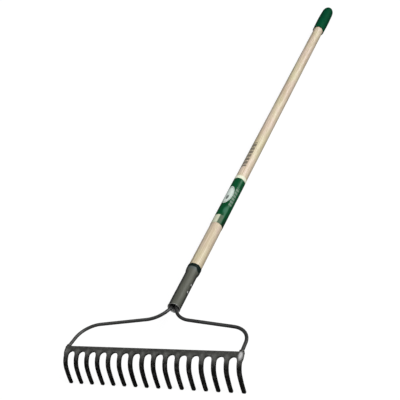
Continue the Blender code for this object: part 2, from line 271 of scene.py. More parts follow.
def enamel(name, dark, light, roughness, lighter_where):
    """Charcoal enamel over steel: orange peel, drifts of tone, bare metal where edges are rubbed, painted
    shade low on the tines, a painted highlight on the tine roots and at the weld laps, painted light where
    a piece's edge values carry it, and a tone that grows lighter from the first of two X places to the
    second.
    """
    lighter_tone = (0.10, 0.098, 0.088)
    unlit = (0.003, 0.003, 0.003)
    root_highlight = (0.112, 0.112, 0.103)
    rubbed_and_lit_steel = (0.20, 0.195, 0.185)
    ground_steel_highlight = (0.62, 0.61, 0.60)
    wear = 0.4
    g = Graph(name)
    drift = g.noise(38, detail=4, rough=0.6)
    speckle = g.noise(900, detail=2)
    tone = g.add(g.times(drift, 0.75), g.times(speckle, 0.25))
    color = g.mix(g.ease(tone, 0.35, 0.65), dark, light)
    # lighter towards one end along X
    color = g.mix(g.ease(g.split()["X"], *lighter_where, 0.0, 0.25), color, lighter_tone)
    color = g.mix(g.times(g.painted("low"), 0.8), color, unlit)
    # painted highlight: the tine roots are lightened where the bend catches the light
    color = g.mix(g.times(g.painted("root"), 0.85), color, root_highlight)
    rubbed_and_lit = g.roughened(g.painted("edge"), 1.6, 160, detail=5, rough=0.7)
    scratch = g.ease(g.noise((2200, 90, 2200), detail=2), 0.68, 0.74)
    bare_and_lit = g.math("MAXIMUM", g.times(g.ease(rubbed_and_lit, 0.95, 1.35), wear), g.times(scratch, 0.12 * wear))
    color = g.mix(bare_and_lit, color, rubbed_and_lit_steel)
    ground_and_lit = g.roughened(g.painted("ground_and_lit"), 0.5, 500, detail=4, rough=0.7)
    # ground steel at the weld laps, brightened into a painted highlight
    color = g.mix(g.ease(ground_and_lit, 0.15, 0.8), color, ground_steel_highlight)
    peel = g.bump(g.noise(1100, detail=2), 0.05 * MM, 0.35)
    forged = g.bump(g.noise(120, detail=5, rough=0.65), 0.4 * MM, 0.35, under=peel)
    rough = g.add(g.times(g.noise(300, detail=3), 0.18), roughness - 0.09)
    return g.finish(
        Base_Color=color, Roughness=g.fade(bare_and_lit, rough, 0.38), Metallic=g.times(bare_and_lit, 0.7),
        Specular_IOR_Level=g.fade(g.painted("low"), 0.4, 0.06), Normal=forged)


def weld_metal():
    """A bead that cooled in ripples, under thin enamel, with dark spatter on it."""
    dark, light = (0.045, 0.044, 0.042), (0.17, 0.165, 0.155)
    spatter = (0.02, 0.019, 0.018)
    g = Graph("weld_bead")
    drift = g.noise(220, detail=4, rough=0.6)
    color = g.mix(g.ease(drift, 0.35, 0.7), dark, light)
    color = g.mix(g.ease(g.cells(900), 0.12, 0.3), spatter, color)
    return g.finish(
        Base_Color=color, Metallic=0.55, Roughness=g.add(g.times(drift, 0.3), 0.3),
        Normal=g.bump(g.noise(700, detail=4, rough=0.7), 0.25 * MM, 0.5))


def ferrule_enamel():
    """Grey enamel over a drawn tube: faint draw lines along it, a greener cup, painted shade where it is
    seen edge on, a dark band at the cup's rim whose line drops towards +X, bright metal where it is rubbed,
    and painted light in its bore near the mouth.
    """
    dark, light = (0.086, 0.089, 0.070), (0.112, 0.115, 0.090)
    cup_tint = (0.084, 0.105, 0.101)
    edge_on_shade = (0.020, 0.021, 0.019)
    rim_dark = (0.004, 0.012, 0.010)
    rubbed_and_lit_steel = (0.58, 0.585, 0.56)
    lit_bore_steel = (0.95, 0.95, 0.93)
    g = Graph("ferrule_grey")
    station = g.station()
    drift = g.noise((70, 28, 70), detail=4, rough=0.55)
    drawn = g.noise((1500, 22, 1500), detail=3, rough=0.6)
    tone = g.add(g.times(drift, 0.6), g.times(drawn, 0.4))
    color = g.mix(g.ease(tone, 0.35, 0.65), dark, light)
    color = g.mix(g.ease(station, 98 * MM, 104 * MM, 0.0, 0.85), color, cup_tint)
    # painted shade: darker where the ferrule is seen edge on
    color = g.mix(g.ease(g.facing(), 0.30, 0.64, 0.0, 0.9), color, edge_on_shade)
    rim_dark_line = g.ease(g.degrees_round(), 45.0, 75.0, 106 * MM, 100 * MM)
    rim_darkened = g.ease(g.less(g.roughened(station, 1.6 * MM, 90), rim_dark_line), 0.0, 2 * MM)
    # a dark band at the cup's rim, reaching further down towards +X
    color = g.mix(rim_darkened, color, rim_dark)
    rubbed_and_lit = g.roughened(g.painted("edge"), 1.4, 200, detail=5, rough=0.7)
    bare_and_lit = g.times(g.ease(rubbed_and_lit, 0.75, 1.2), 0.7)
    color = g.mix(bare_and_lit, color, rubbed_and_lit_steel)
    # painted light: the bore near the mouth is made bright as if lit
    color = g.mix(g.ease(g.painted("edge"), 1.4, 2.2), color, lit_bore_steel)
    peel = g.bump(g.noise(1000, detail=2), 0.04 * MM, 0.35)
    return g.finish(
        Base_Color=color, Metallic=g.add(g.times(bare_and_lit, 0.1), 0.1),
        Roughness=g.add(g.times(drift, 0.16), 0.44), Specular_IOR_Level=g.fade(rim_darkened, 0.5, 0.12),
        Normal=g.bump(drawn, 0.06 * MM, 0.4, under=peel))


def zinc():
    """Dull zinc on the rivets, bruised where they were peened."""
    dark, light = (0.22, 0.225, 0.22), (0.48, 0.48, 0.47)
    g = Graph("zinc_rivet")
    blotch = g.noise(700, detail=4, rough=0.6)
    return g.finish(
        Base_Color=g.mix(blotch, dark, light), Metallic=0.85,
        Roughness=g.add(g.times(blotch, 0.3), 0.3),
        Normal=g.bump(g.cells(1300), 0.08 * MM, 0.5))


def growth_rings(g):
    """0 to 1 across each growth ring, which wanders and slowly runs out along the handle."""
    pith_x = -55 * MM
    pith_z = 120 * MM
    ring_width = 3.1 * MM
    run_out = 0.011
    place = g.split()
    across = g.roughened(g.less(place["X"], pith_x), 9 * MM, (7, 1.6, 7))
    upright = g.less(place["Z"], pith_z)
    depth = g.math("SQRT", g.add(g.times(across, across), g.times(upright, upright)))
    depth = g.add(depth, g.times(place["Y"], run_out))
    return g.math("FRACT", g.times(depth, 1 / ring_width))


def printed_dashes(g):
    """1 inside a row of plain dashes along the handle, above its wrap."""
    dash_length = 15 * MM
    station = g.station()
    row = g.band(g.degrees_round(), (-44.0, -40.0), (16.0, 26.0))
    row = g.times(row, g.band(station, (471 * MM, 472 * MM), (575 * MM, 576 * MM)))
    dash = g.math("FRACT", g.times(station, 1 / dash_length))
    return g.times(row, g.band(dash, (0.08, 0.14), (0.86, 0.92)))


def ash_wood():
    """Straight-grained ash under clear lacquer: rings, open pores in the early wood, and brown streaks."""
    cream, pink_cream = (0.80, 0.75, 0.49), (0.86, 0.69, 0.58)
    tan, pink_tan = (0.58, 0.48, 0.30), (0.60, 0.46, 0.33)
    brown_streak = (0.52, 0.41, 0.21)
    dark_fibre = (0.52, 0.38, 0.23)
    pore_shade = (0.30, 0.19, 0.10)
    ink = (0.13, 0.11, 0.078)
    low_dark = (0.45, 0.37, 0.25)
    edge_on_shade = (0.40, 0.33, 0.22)
    g = Graph("ash_lacquered")
    ring = growth_rings(g)
    early = g.ease(ring, 0.0, 0.42, 1.0, 0.0)
    late = g.band(ring, (0.25, 0.9), (0.93, 1.0))
    fibre = g.noise((2600, 28, 2600), detail=3, rough=0.6)
    pores = g.ease(g.noise((1500, 70, 1500), detail=2, rough=0.4), 0.61, 0.69)
    pores = g.times(pores, g.add(g.times(early, 0.85), 0.12))
    hue = g.ease(g.noise((14, 8, 14), detail=3, rough=0.6), 0.36, 0.64)
    color = g.mix(g.times(late, 0.75), g.mix(hue, cream, pink_cream), g.mix(hue, tan, pink_tan))
    streak = g.noise((150, 9, 150), detail=3, rough=0.55)
    color = g.mix(g.ease(streak, 0.46, 0.62, 0.0, 0.5), color, brown_streak)
    color = g.mix(g.times(g.ease(fibre, 0.35, 0.75), 0.4), color, dark_fibre)
    color = g.mix(g.times(pores, 0.6), color, pore_shade)
    color = g.mix(g.times(printed_dashes(g), 0.88), color, ink)
    # darker towards the lower end of the handle
    color = g.mix(g.ease(g.station(), 180 * MM, 480 * MM, 0.22, 0.0), color, low_dark)
    # painted shade: darker where the handle is seen edge on
    color = g.mix(g.ease(g.facing(), 0.30, 0.9, 0.0, 0.3), color, edge_on_shade)
    height = g.less(g.add(g.times(fibre, 0.5), g.times(late, 0.3)), pores)
    return g.finish(
        Base_Color=color, Roughness=g.add(g.times(fibre, 0.15), 0.36), Coat_Weight=0.8,
        Coat_Roughness=0.38, Normal=g.bump(height, 0.05 * MM, 0.55))


def vinyl():
    """Dipped green vinyl: satin, with faint drips, a fine leathery skin and a little dust."""
    dark, light = (0.0003, 0.066, 0.025), (0.0012, 0.085, 0.034)
    lighter_tone = (0.02, 0.15, 0.08)
    edge_on_shade = (0.0003, 0.022, 0.010)
    g = Graph("green_vinyl")
    cloud = g.noise(55, detail=4, rough=0.6)
    color = g.mix(g.ease(cloud, 0.3, 0.7), dark, light)
    lighter_where = g.ease(g.noise(450, detail=4, rough=0.75), 0.62, 0.8)
    color = g.mix(g.times(lighter_where, 0.1), color, lighter_tone)
    # painted shade: darker where the grip is seen edge on
    color = g.mix(g.ease(g.facing(), 0.35, 0.8, 0.0, 0.6), color, edge_on_shade)
    skin = g.bump(g.cells(1500), 0.05 * MM, 0.4)
    drips = g.bump(g.noise((60, 14, 60), detail=3), 0.5 * MM, 0.25, under=skin)
    return g.finish(
        Base_Color=color, Roughness=g.add(g.times(cloud, 0.16), 0.38), Specular_IOR_Level=0.02,
        Normal=drips)


def printed_wrap():
    """A film wrap: green ground, bars, a plain silver oval with a grey disc, pale borders and a darker low
    end on its right side.
    """
    green, light_green = (0.0008, 0.052, 0.016), (0.002, 0.074, 0.024)
    sheen_green = (0.10, 0.28, 0.16)
    glow_green = (0.043, 0.165, 0.095)
    bar_grey = (0.20, 0.27, 0.21)
    silver, light_silver = (0.58, 0.66, 0.60), (0.70, 0.78, 0.72)
    ring_green = (0.03, 0.12, 0.07)
    disc_grey = (0.10, 0.115, 0.11)
    worn_grey = (0.10, 0.15, 0.095)
    lower_cream, upper_cream = (0.62, 0.64, 0.48), (0.82, 0.84, 0.66)
    low_dark = (0.002, 0.012, 0.004)
    soft = 0.4 * MM
    start, end = stations("handle_label")
    g = Graph("label_film")
    station = g.station()
    angle = g.degrees_round()

    def oval(centre, degrees, half_length, half_degrees):
        """1 on an oval's rim, and less inside it."""
        a = g.times(g.less(station, centre), 1 / half_length)
        b = g.times(g.less(angle, degrees), 1 / half_degrees)
        return g.math("SQRT", g.add(g.times(a, a), g.times(b, b)))

    mottle = g.noise(300, detail=3)
    shade = g.ease(g.noise((30, 12, 30), detail=2), 0.3, 0.7)
    color = g.mix(shade, green, light_green)
    color = g.mix(g.times(g.between(angle, 48, 66, 7), 0.45), color, sheen_green)

    bars = g.times(g.between(angle, 43, 78, 1.5), g.between(station, 322 * MM, 388 * MM, soft))
    stripe = g.math("FRACT", g.times(station, 1 / (11 * MM)))
    bars = g.times(bars, g.between(stripe, 0.16, 0.86, 0.04))
    color = g.mix(g.times(bars, 0.85), color, bar_grey)
    glow = g.ease(oval(302 * MM, 44, 18 * MM, 30), 0.3, 1.0, 0.9, 0.0)
    color = g.mix(glow, color, glow_green)

    badge = oval(357 * MM, -6, 32 * MM, 47)
    color = g.mix(g.ease(badge, 0.985, 1.015, 1.0, 0.0), color, g.mix(mottle, silver, light_silver))
    ring = g.band(badge, (0.84, 0.86), (0.89, 0.91))
    color = g.mix(g.times(ring, 0.7), color, ring_green)
    disc = oval(347 * MM, 1, 8 * MM, 13)
    color = g.mix(g.ease(disc, 0.95, 1.05, 0.85, 0.0), color, disc_grey)

    lower_end = start + 28 * MM
    lower = g.ease(station, lower_end - soft, lower_end + soft, 1.0, 0.0)
    worn = g.times(lower, g.ease(angle, 52, 66, 1.0, 0.0))
    color = g.mix(worn, color, worn_grey)
    color = g.mix(g.times(lower, g.ease(angle, 16, 30, 1.0, 0.0)), color, lower_cream)
    upper_start = end - 11 * MM
    upper = g.ease(station, upper_start - soft, upper_start + soft)
    color = g.mix(upper, color, upper_cream)
    # darker at the wrap's low end on its right side
    low_darkened = g.times(g.ease(station, start, start + 40 * MM, 0.85, 0.0), g.ease(angle, 52, 84))
    color = g.mix(low_darkened, color, low_dark)
    wrinkles = g.noise((90, 25, 90), detail=3)
    return g.finish(
        Base_Color=color, Roughness=g.add(g.times(mottle, 0.12), 0.26), Specular_IOR_Level=0.08,
        Normal=g.bump(wrinkles, 0.12 * MM, 0.3))


# ---------------------------------------------------------------- mesh helpers

def smooth_step(value, low, high):
    """Smoothly from 0 to 1 while value goes from low to high."""
    share = min(max((value - low) / (high - low), 0.0), 1.0)
    return share * share * (3 - 2 * share)


def wobble(place, size, seed=0.0):
    """Smooth noise between -1 and 1, with features of a size in the place's own units."""
    return noise.noise(Vector(place) / size + Vector((seed, seed * 1.7, -seed)))


def turn_between(angle, other):
    """The turn from one angle to another, at most half a turn either way."""
    return math.atan2(math.sin(angle - other), math.cos(angle - other))


def add_piece(name, shape, material, node, edge=None, sharp=50):
    """Turn a bmesh into a shown piece that stands for its CAD node: edge(place) says how rubbed a place
    is, with painted light added where a piece raises it, unless the bmesh carries that itself.
    """
    bmesh.ops.recalc_face_normals(shape, faces=shape.faces[:])
    mesh = bpy.data.meshes.new(name)
    shape.to_mesh(mesh)
    shape.free()
    mesh.materials.append(material)
    mesh.shade_smooth()
    mesh.set_sharp_from_angle(angle=math.radians(sharp))
    if "edge" not in mesh.attributes:
        rubbed_and_lit = mesh.attributes.new("edge", "FLOAT", "POINT")
        rubbed_and_lit.data.foreach_set("value", [edge(point.co) if edge else 0.0 for point in mesh.vertices])
    piece = bpy.data.objects.new(name, mesh)
    bpy.context.scene.collection.objects.link(piece)
    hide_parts(node)
    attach(piece, "root")
    return piece


def weigh_normals(piece):
    """Large flat faces keep their own shading and the rounded edges blend into them."""
    modifier = piece.modifiers.new("weighted_normals", "WEIGHTED_NORMAL")
    modifier.keep_sharp = True
    modifier.weight = 80


def handle_point(radius, angle, station):
    """A point about the handle's axis: angle 0 is the top and a quarter turn is +X."""
    return Vector((radius * math.sin(angle), MOUTH_Y + station, AXIS_Z + radius * math.cos(angle)))


def across_point(centre):
    """A place function like handle_point, about an X axis through a centre: its stations run along +X."""
    def place(radius, angle, station):
        return centre + Vector((station, radius * math.sin(angle), radius * math.cos(angle)))
    return place


def lathe(profile, steps, place=handle_point, swell=None, closed=False):
    """Rings from (radius, station) pairs: swell(angle, radius, station) moves a point out or in."""
    shape = bmesh.new()
    rings = []
    for radius, station in profile:
        if radius < 1e-6:
            rings.append([shape.verts.new(place(0.0, 0.0, station))])
            continue
        ring = []
        for step in range(steps):
            angle = TAU * step / steps
            away = swell(angle, radius, station) if swell else 0.0
            ring.append(shape.verts.new(place(radius + away, angle, station)))
        rings.append(ring)
    pairs = list(zip(rings, rings[1:]))
    if closed:
        pairs.append((rings[-1], rings[0]))
    for one, other in pairs:
        for step in range(steps):
            following = (step + 1) % steps
            corners = []
            for ring, index in ((one, step), (one, following), (other, following), (other, step)):
                vertex = ring[index % len(ring)]
                if vertex not in corners:
                    corners.append(vertex)
            shape.faces.new(corners)
    return shape


def loft(shape, rings):
    """Faces between rings of equal numbers of points, and a flat face over each end."""
    for one, two in zip(rings, rings[1:]):
        for step in range(len(one)):
            following = (step + 1) % len(one)
            shape.faces.new((one[step], one[following], two[following], two[step]))
    shape.faces.new(rings[0])
    shape.faces.new(rings[-1])


def arc(centre, radius, start, end, steps):
    """(radius, station) points on an arc of a profile: angles in degrees, 0 is outward, 90 up the handle."""
    points = []
    for step in range(steps + 1):
        angle = math.radians(start + (end - start) * step / steps)
        points.append((centre[0] + radius * math.cos(angle), centre[1] + radius * math.sin(angle)))
    return points


def evenly(start, end, length):
    """Numbers from start to end, no further apart than a length, ends included."""
    count = max(1, math.ceil(abs(end - start) / length))
    return [start + (end - start) * step / count for step in range(count + 1)]


def straight(radius, start, end, length):
    """(radius, station) points of a plain run, no further apart than a length."""
    return [(radius, station) for station in evenly(start, end, length)]


def eased(start, end, length, slope, radii):
    """Points of a run whose radius eases from the first to the second of two along a slope's stations."""
    first, second = radii
    return [(first + (second - first) * smooth_step(station, *slope), station)
            for station in evenly(start, end, length)]


def dome(radius, base, height, steps):
    """Points down a rounded end, from its tip to just above its base."""
    points = [(0.0, base + height)]
    for step in range(1, steps):
        angle = math.pi / 2 * step / steps
        points.append((radius * math.sin(angle), base + height * math.cos(angle)))
    return points


# ---------------------------------------------------------------- the comb

def back_edge():
    """Middle of the bar's back edge, from the middle of its upper face."""
    y = BAR_DEPTH / 2 * math.cos(BAR_SLOPE) + STEEL / 2 * math.sin(BAR_SLOPE)
    z = BAR_DEPTH / 2 * math.sin(BAR_SLOPE) - STEEL / 2 * math.cos(BAR_SLOPE)
    return y, z


def arc_point(y, z, slope, radius, run):
    """(y, z, slope) after a run along an arc that starts at a place and slope."""
    end = slope + run / radius
    return (y - radius * (math.sin(end) - math.sin(slope)),
            z - radius * (math.cos(slope) - math.cos(end)), end)


def pressed_line(run):
    """(y, z, slope) on the comb's middle surface, a run forward of its back edge."""
    y, z = back_edge()
    flat = min(run, FLAT_RUN)
    y -= flat * math.cos(BAR_SLOPE)
    z -= flat * math.sin(BAR_SLOPE)
    slope = BAR_SLOPE
    if run > FLAT_RUN:
        y, z, slope = arc_point(y, z, slope, BEND_RADIUS, min(run - FLAT_RUN, BEND_RUN))
    if run > FLAT_RUN + BEND_RUN:
        y, z, slope = arc_point(y, z, slope, TIP_RADIUS, run - FLAT_RUN - BEND_RUN)
    return y, z, slope


def tine_half_width(run):
    """Half of a tine's width, which tapers from its root to its tip."""
    share = (run - TINE_ROOT) / (BLANK_LENGTH - TINE_ROOT)
    return (TINE_WIDTH + (TIP_WIDTH - TINE_WIDTH) * max(share, 0.0)) / 2


def blank_outline():
    """(x, run) points round the flat blank, from its back left corner."""
    shoulder = END_TINE_X + TINE_WIDTH / 2
    end = shoulder + BAR_OVERHANG
    clipped = 0.35 * BAR_CORNER
    right = [(end - clipped, clipped)]
    right += [(end, run) for run in evenly(BAR_CORNER, SHOULDER_RUN - 1 * MM, 3 * MM)]
    shoulder_steps = 8
    for step in range(shoulder_steps + 1):
        share = step / shoulder_steps
        out = BAR_OVERHANG * (1 + math.cos(math.pi * share)) / 2
        right.append((shoulder + out, SHOULDER_RUN + SHOULDER_LENGTH * share))
    points = [(-x, run) for x, run in reversed(right)]
    points += [(x, 0.0) for x in evenly(-end + BAR_CORNER, end - BAR_CORNER, 6 * MM)] + right
    below = SHOULDER_RUN + SHOULDER_LENGTH + 2 * MM
    side = BLANK_LENGTH - TIP_CORNER
    tip_steps = 5
    arch_steps = 22
    for index in range(TINE_COUNT):
        centre = END_TINE_X - TINE_PITCH * index
        flank = [(tine_half_width(run), run) for run in evenly(TINE_ROOT, side, 4 * MM)]
        for step in range(1, tip_steps + 1):
            angle = math.pi / 2 * step / tip_steps
            across = tine_half_width(side) - TIP_CORNER * (1 - math.cos(angle))
            flank.append((across, side + TIP_CORNER * math.sin(angle)))
        points += [(centre + across, run) for across, run in flank if index > 0 or run > below]
        last = index == TINE_COUNT - 1
        points += [(centre - across, run) for across, run in reversed(flank) if not last or run > below]
        if last:
            break
        half = (TINE_PITCH - TINE_WIDTH) / 2
        for step in range(1, arch_steps):
            angle = math.pi * step / arch_steps
            points.append((centre - TINE_PITCH / 2 + half * math.cos(angle),
                           BAR_DEPTH + ARCH_HEIGHT * (1 - math.sin(angle))))
    return points


def flat_blank():
    """The blank as a closed plate with rounded edges, its runs along -Y."""
    curve = bpy.data.curves.new("blank", "CURVE")
    curve.dimensions = "2D"
    curve.fill_mode = "BOTH"
    curve.extrude = STEEL / 2 - EDGE_ROUND
    curve.bevel_depth = EDGE_ROUND
    curve.bevel_resolution = 2
    curve.offset = -EDGE_ROUND
    outline = blank_outline()
    spline = curve.splines.new("POLY")
    spline.points.add(len(outline) - 1)
    for point, (x, run) in zip(spline.points, outline):
        point.co = (x, -run, 0.0, 1.0)
    spline.use_cyclic_u = True
    drawn = bpy.data.objects.new("blank", curve)
    bpy.context.scene.collection.objects.link(drawn)
    mesh = bpy.data.meshes.new_from_object(drawn.evaluated_get(bpy.context.evaluated_depsgraph_get()))
    bpy.data.objects.remove(drawn, do_unlink=True)
    shape = bmesh.new()
    shape.from_mesh(mesh)
    bpy.data.meshes.remove(mesh)
    bmesh.ops.remove_doubles(shape, verts=shape.verts[:], dist=0.004 * MM)
    return shape


def cut_at(shape, x, end):
    """Cut the back of the blank lengthways at an X place, as far forward as a run's end."""
    faces = [face for face in shape.faces if face.calc_center_median().y > -end]
    near = [face for face in faces if min(v.co.x for v in face.verts) < x < max(v.co.x for v in face.verts)]
    edges = {edge for face in near for edge in face.edges}
    verts = {vertex for face in near for vertex in face.verts}
    bmesh.ops.bisect_plane(
        shape, geom=list(verts) + list(edges) + near, plane_co=(x, 0, 0), plane_no=(1, 0, 0))


def root_boss(across, run):
    """How far up its forged root a place on the upper face is, from 0 to 1."""
    rise = smooth_step(run, 3 * MM, 10 * MM) * (1 - smooth_step(run, 11.5 * MM, ROOT_END))
    return rise * math.exp(-(across / ROOT_WIDTH) ** 2)


def weld_lap(x, run):
    """How much of a weld's lap lies on a place near the end of the bar's upper face, from 0 to 1."""
    return math.exp(-((abs(x) - LAP_X) / LAP_WIDTH) ** 2 - ((run - LAP_RUN) / LAP_LENGTH) ** 2)


def cut_blank():
    """The blank cut across finely enough to bend, and lengthways too where the tine roots rise."""
    shape = flat_blank()
    for run in evenly(1.5 * MM, BLANK_LENGTH - 0.5 * MM, 1.6 * MM):
        everything = shape.verts[:] + shape.edges[:] + shape.faces[:]
        bmesh.ops.bisect_plane(shape, geom=everything, plane_co=(0, -run, 0), plane_no=(0, 1, 0))
    cuts_per_tine = 8
    for index in range(TINE_COUNT * cuts_per_tine):
        cut_at(shape, TINE_PITCH * (index / cuts_per_tine - 0.5) - END_TINE_X, ROOT_END + 2 * MM)
    bmesh.ops.triangulate(shape, faces=shape.faces[:])
    return shape


def build_comb(material):
    """The blank pressed to shape, with forged roots, laps of weld, and tines that are not quite alike."""
    shape = cut_blank()
    edge_layer = shape.verts.layers.float.new("edge")
    root_layer = shape.verts.layers.float.new("root")
    low_layer = shape.verts.layers.float.new("low")
    ground_and_lit_layer = shape.verts.layers.float.new("ground_and_lit")
    for vertex in shape.verts:
        run = max(-vertex.co.y, 0.0)
        tine = round((vertex.co.x + END_TINE_X) / TINE_PITCH)
        across = vertex.co.x + END_TINE_X - TINE_PITCH * tine
        boss = root_boss(across, run) if vertex.co.z > 0 else 0.0
        lap = weld_lap(vertex.co.x, run) if vertex.co.z > 0 else 0.0
        inside = 1 - abs(vertex.co.z) / (STEEL / 2)
        vertex[edge_layer] = 1 - smooth_step(inside, 0.0, 0.5)
        # the root value also places the painted highlight on the tine roots
        vertex[root_layer] = boss
        vertex[low_layer] = smooth_step(run, 15 * MM, 32 * MM)
        # the right lap takes the painted highlight in full; the left gets a faint share of ground steel
        vertex[ground_and_lit_layer] = lap * (1.0 if vertex.co.x > 0 else 0.15)

        reach = smooth_step(run, TINE_ROOT, BLANK_LENGTH)
        lean = wobble((tine * 3.7, 0.4, 0.1), 1.0) * TINE_LEAN
        curl = (wobble((tine * 2.3, 5.4, 1.9), 1.0) - 1) * TINE_CURL
        uneven = wobble((vertex.co.x, run, 0.0), 14 * MM) * TINE_WAVE
        share = max(run - FLAT_RUN, 0.0) / (BLANK_LENGTH - FLAT_RUN)
        thickness = STEEL + (TIP_STEEL - STEEL) * share
        lift = vertex.co.z * thickness / STEEL + curl * reach - abs(uneven)
        lift += boss * ROOT_RISE + lap * LAP_RISE
        y, z, slope = pressed_line(run)
        vertex.co.x += lean * reach
        vertex.co.y = y - lift * math.sin(slope)
        vertex.co.z = z + lift * math.cos(slope)
    piece = add_piece("comb_forged", shape, material, "tine_comb", sharp=60)
    weigh_normals(piece)


# ---------------------------------------------------------------- the bow

def from_mouth(x, y, z=0.0):
    """A place from where the handle's axis passes MOUTH_Y."""
    return Vector((x, y + MOUTH_Y, z + AXIS_Z))


def foot_frame(side):
    """Where a rod's foot meets the bar's back edge, and the bar's forward and outward directions."""
    y, z = back_edge()
    forward = Vector((0, -math.cos(BAR_SLOPE), -math.sin(BAR_SLOPE)))
    outward = Vector((0, -math.sin(BAR_SLOPE), math.cos(BAR_SLOPE)))
    return Vector((side * FOOT_X, y, z)), forward, outward


def rounded_path(corners, radii):
    """The corners' polyline with each inner corner turned on its own radius."""
    path = [corners[0]]
    for before, corner, after, radius in zip(corners, corners[1:], corners[2:], radii):
        entering = (corner - before).normalized()
        leaving = (after - corner).normalized()
        turn = entering.angle(leaving)
        start = corner - entering * radius * math.tan(turn / 2)
        inward = (leaving - entering * entering.dot(leaving)).normalized()
        centre = start + inward * radius
        steps = max(6, math.ceil(turn / math.radians(2.5)))
        for step in range(steps + 1):
            angle = turn * step / steps
            path.append(centre + radius * (entering * math.sin(angle) - inward * math.cos(angle)))
    return path + [corners[-1]]


def spread_out(path, length):
    """The path with points added so that none are further apart than a length."""
    dense = [path[0]]
    for start, end in zip(path, path[1:]):
        count = max(1, math.ceil((end - start).length / length))
        dense += [start.lerp(end, step / count) for step in range(1, count + 1)]
    return dense


def rod_corners(side):
    """Corners of a rod's run from its shank's end to its foot: side is -1 for left and 1 for right."""
    return [
        from_mouth(side * SHANK_SPREAD, SHANK_DEPTH),
        from_mouth(side * SHANK_SPREAD, SET_Y),
        from_mouth(side * SHANK_SPREAD, THROAT_Y, THROAT_Z),
        from_mouth(side * CORNER_X, CORNER_Y, CORNER_Z),
        foot_frame(side)[0],
    ]


def tube(path, radius, steps, swell):
    """Rings carried along a path without twisting: swell(place, angle) adds to the radius."""
    shape = bmesh.new()
    side = Vector((0, 0, 1))
    rings = []
    for index, place in enumerate(path):
        ahead = path[min(index + 1, len(path) - 1)]
        behind = path[max(index - 1, 0)]
        along = (ahead - behind).normalized()
        side = (side - along * side.dot(along)).normalized()
        other = along.cross(side)
        ring = []
        for step in range(steps):
            angle = TAU * step / steps
            away = side * math.cos(angle) + other * math.sin(angle)
            ring.append(shape.verts.new(place + away * (radius + swell(place, angle))))
        rings.append(ring)
    loft(shape, rings)
    return shape


def build_arm(name, side, node, material):
    """A rod that is carried on past the bar's back edge and cut off flush with it."""
    spare = 6 * MM
    corners = rod_corners(side)
    leg = (corners[-1] - corners[-2]).normalized()
    corners[-1] = corners[-1] + leg * spare
    path = spread_out(rounded_path(corners, (SET_RADIUS, THROAT_RADIUS, CORNER_RADIUS)), 4 * MM)

    def swell(place, angle):
        return (wobble((place.x, place.y, angle * 4 * MM), 18 * MM, side) - 1) * 0.05 * MM

    shape = tube(path, ROD_RADIUS, 32, swell)
    foot, forward, _ = foot_frame(side)
    everything = shape.verts[:] + shape.edges[:] + shape.faces[:]
    bmesh.ops.bisect_plane(
        shape, geom=everything, plane_co=foot - forward * 0.1 * MM, plane_no=forward, clear_outer=True)
    rim = [edge for edge in shape.edges if edge.is_boundary]
    bmesh.ops.holes_fill(shape, edges=rim, sides=0)
    throat = from_mouth(0, -18 * MM)

    def rubbed_and_lit(place):
        # painted highlight: the left rod is lightened towards bare steel near the throat
        throat_highlight = math.exp(-((place - throat).length / (28 * MM)) ** 2)
        return 0.45 + 0.35 * wobble(place, 45 * MM, 3.0) + (0.5 * throat_highlight if side < 0 else 0.0)

    add_piece(name, shape, material, node, edge=rubbed_and_lit)


def build_weld(name, side, node, material):
    """A collar of bead round the rod's foot: ripples follow the torch round it."""
    foot, forward, outward = foot_frame(side)
    corners = rod_corners(side)
    leg = (corners[-1] - corners[-2]).normalized()
    square = Vector((1, 0, 0))
    shape = bmesh.new()
    steps = 72
    # How far back from the bar each ring of the bead is, and its radius, both in mm
    profile = [
        (0.30, 1.6), (0.30, 3.2), (0.30, 3.9), (0.55, 4.45), (1.0, 4.75), (1.6, 4.70),
        (2.2, 4.40), (2.8, 4.05), (3.3, 3.75), (3.7, 3.52), (3.9, 3.30), (3.9, 1.6),
    ]
    rings = []
    for back, radius in profile:
        tilt = smooth_step(back, 0.0, 3.5)
        axis = (forward * (1 - tilt) + leg * tilt).normalized()
        lift = (outward - axis * outward.dot(axis)).normalized()
        centre = foot - leg * back * MM
        outer = smooth_step(radius, 3.4, 4.4)
        ring = []
        for step in range(steps):
            angle = TAU * step / steps
            ripple = 0.16 * math.sin(angle * 13 + back * 1.4) + 0.2 * wobble((angle, back * 0.3, side), 0.6)
            size = (radius + outer * ripple) * MM
            away = square * math.cos(angle) * 1.05 + lift * math.sin(angle) * 0.98
            ring.append(shape.verts.new(centre + away * size))
        rings.append(ring)
    loft(shape, rings)
    add_piece(name, shape, material, node, sharp=70)


# ---------------------------------------------------------------- ferrule and rivets

